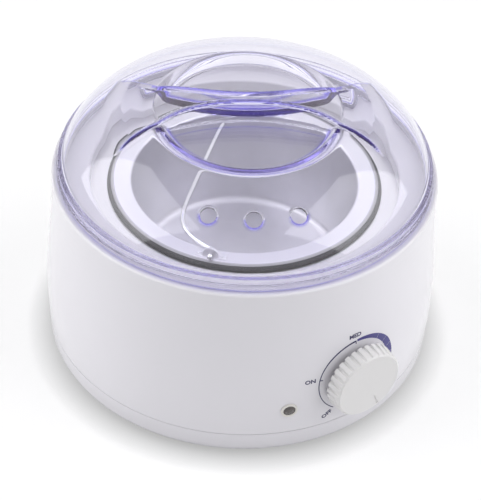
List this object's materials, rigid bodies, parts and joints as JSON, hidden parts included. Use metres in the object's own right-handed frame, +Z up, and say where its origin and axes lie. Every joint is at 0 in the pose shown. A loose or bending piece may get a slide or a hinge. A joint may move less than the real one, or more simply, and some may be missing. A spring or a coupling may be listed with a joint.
{
  "type": "wax warmer pot",
  "caption": "Round electric wax warmer: clear domed lid with a bridge handle, lift-out aluminium pot in a heated well, white housing with a fluted control knob.",
  "frame": {"origin": "on the axis of the body, on the plane of the feet, where it stands on a table", "axes": "+Z up along the body's axis, -Y towards the front with the control knob, +X to the right of someone who faces the knob"},
  "size_m": [0.1844, 0.2018, 0.1335],
  "materials": {
    "white_shell": "glossy moulded",
    "zinc_screw": "bright zinc plate",
    "black_rubber": "matt",
    "spun_aluminium": "spun, fine turning lines",
    "mica_sheet": "pressed mica sheet",
    "zinc_steel": "bright zinc plate",
    "glass_wool": "needled glass fibre",
    "ceramic_white": "unglazed ceramic",
    "white_knob": "satin moulded",
    "copper_tube": "drawn tube",
    "fuse_body": "sleeved",
    "lamp_bezel": "moulded",
    "smoked_lens": "polished, smoked",
    "neon_glass": "clear glass",
    "ivory_plastic": "moulded",
    "brass_part": "bright",
    "silicone_lead": "silicone sleeve",
    "grey_lead": "soft sleeve",
    "earth_sleeve": "soft sleeve",
    "pot_aluminium": "turned, bright",
    "rivet_metal": "bright",
    "bail_wire": "bright drawn wire",
    "lid_clear": "clear violet-tinted plastic, polished"
  },
  "bodies": {
    "housing_body": {"housing": "white_shell", "base_pan": "white_shell", "base_screws": "zinc_screw", "feet": "black_rubber", "heating_well": "spun_aluminium", "well_screws": "zinc_screw", "heater_band": "mica_sheet", "band_clamp": "zinc_steel", "clamp_screw": "zinc_screw", "insulation": "glass_wool", "heat_shield": "zinc_steel", "shield_screws": "zinc_screw", "thermostat": "ceramic_white", "thermostat_nut": "zinc_steel", "sensor_phial": "copper_tube", "phial_clip": "zinc_steel", "capillary": "copper_tube", "thermal_fuse": "fuse_body", "fuse_clip": "zinc_steel", "lamp_holder": "lamp_bezel", "pilot_lens": "smoked_lens", "neon_bulb": "neon_glass", "terminal_block": "ivory_plastic", "terminal_screws": "brass_part", "block_screws": "zinc_screw", "earth_tag": "brass_part", "earth_screw": "brass_part", "heater_leads": "silicone_lead", "lamp_leads": "grey_lead", "earth_lead": "earth_sleeve", "cord_gland": "white_shell", "gland_nut": "white_shell"},
    "knob_body": {"knob": "white_knob", "thermostat_shaft": "zinc_steel"},
    "pot_body": {"pot": "pot_aluminium", "bail_ears": "zinc_steel", "ear_rivets": "rivet_metal"},
    "bail_body": {"bail": "bail_wire"},
    "lid_body": {"lid": "lid_clear"}
  },
  "joints": [
    {"name": "knob_turn", "type": "hinge", "parent": "housing_body", "child": "knob_body", "pos_m": [0, -0.0985, 0.039], "axis": [0, -1, 0], "range_deg": [0, 300]},
    {"name": "pot_lift", "type": "slide", "parent": "housing_body", "child": "pot_body", "axis": [0, 0, 1], "range_m": [0, 0.075]},
    {"name": "bail_swing", "type": "hinge", "parent": "pot_body", "child": "bail_body", "pos_m": [0, 0, 0.0891], "axis": [0.7547, 0.6561, 0], "range_deg": [0, 180]},
    {"name": "lid_lift", "type": "slide", "parent": "pot_body", "child": "lid_body", "axis": [0, 0, 1], "range_m": [0, 0.06]}
  ]
}
